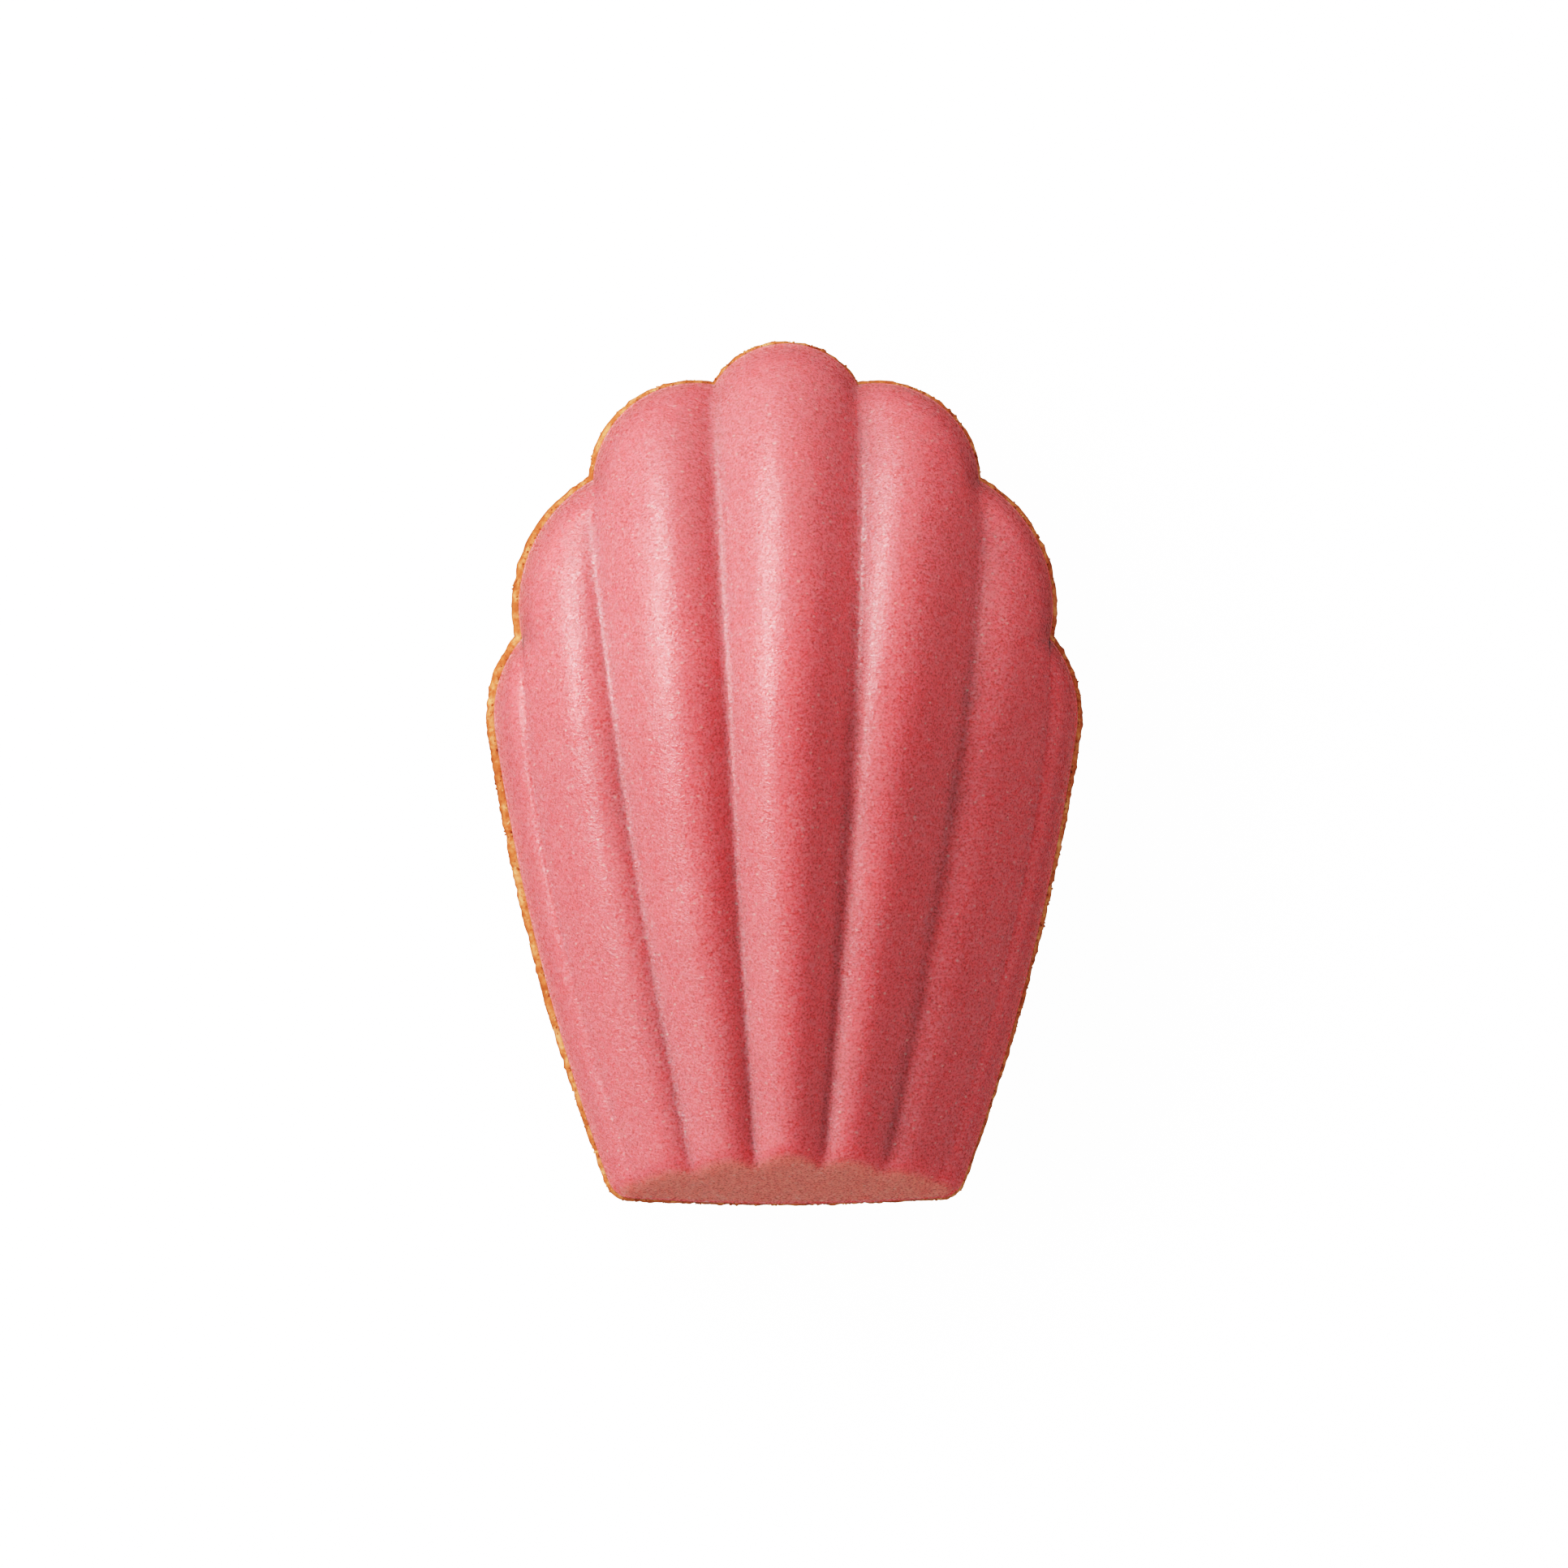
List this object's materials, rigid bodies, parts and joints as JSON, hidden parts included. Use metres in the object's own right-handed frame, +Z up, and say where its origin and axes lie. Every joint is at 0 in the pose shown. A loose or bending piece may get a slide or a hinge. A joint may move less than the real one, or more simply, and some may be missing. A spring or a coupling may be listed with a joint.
{
  "type": "coated madeleine cake",
  "caption": "Small shell-shaped sponge cake lying on its baked hump, with a thin moulded pink chocolate coating over its ribbed face down to the browned rim.",
  "frame": {"origin": "middle of the underside: the flat spot of the hump that the cake rests on", "axes": "+Y along the ribs towards the scalloped end, +X across the ribs, +Z up out of the ribbed face"},
  "size_m": [0.0482, 0.07, 0.0257],
  "materials": {
    "sponge": "browned baked sponge, rough, golden brown",
    "coating": "satin moulded chocolate, pink"
  },
  "bodies": {
    "root": {"cake": "sponge", "coating": "coating"}
  },
  "joints": []
}
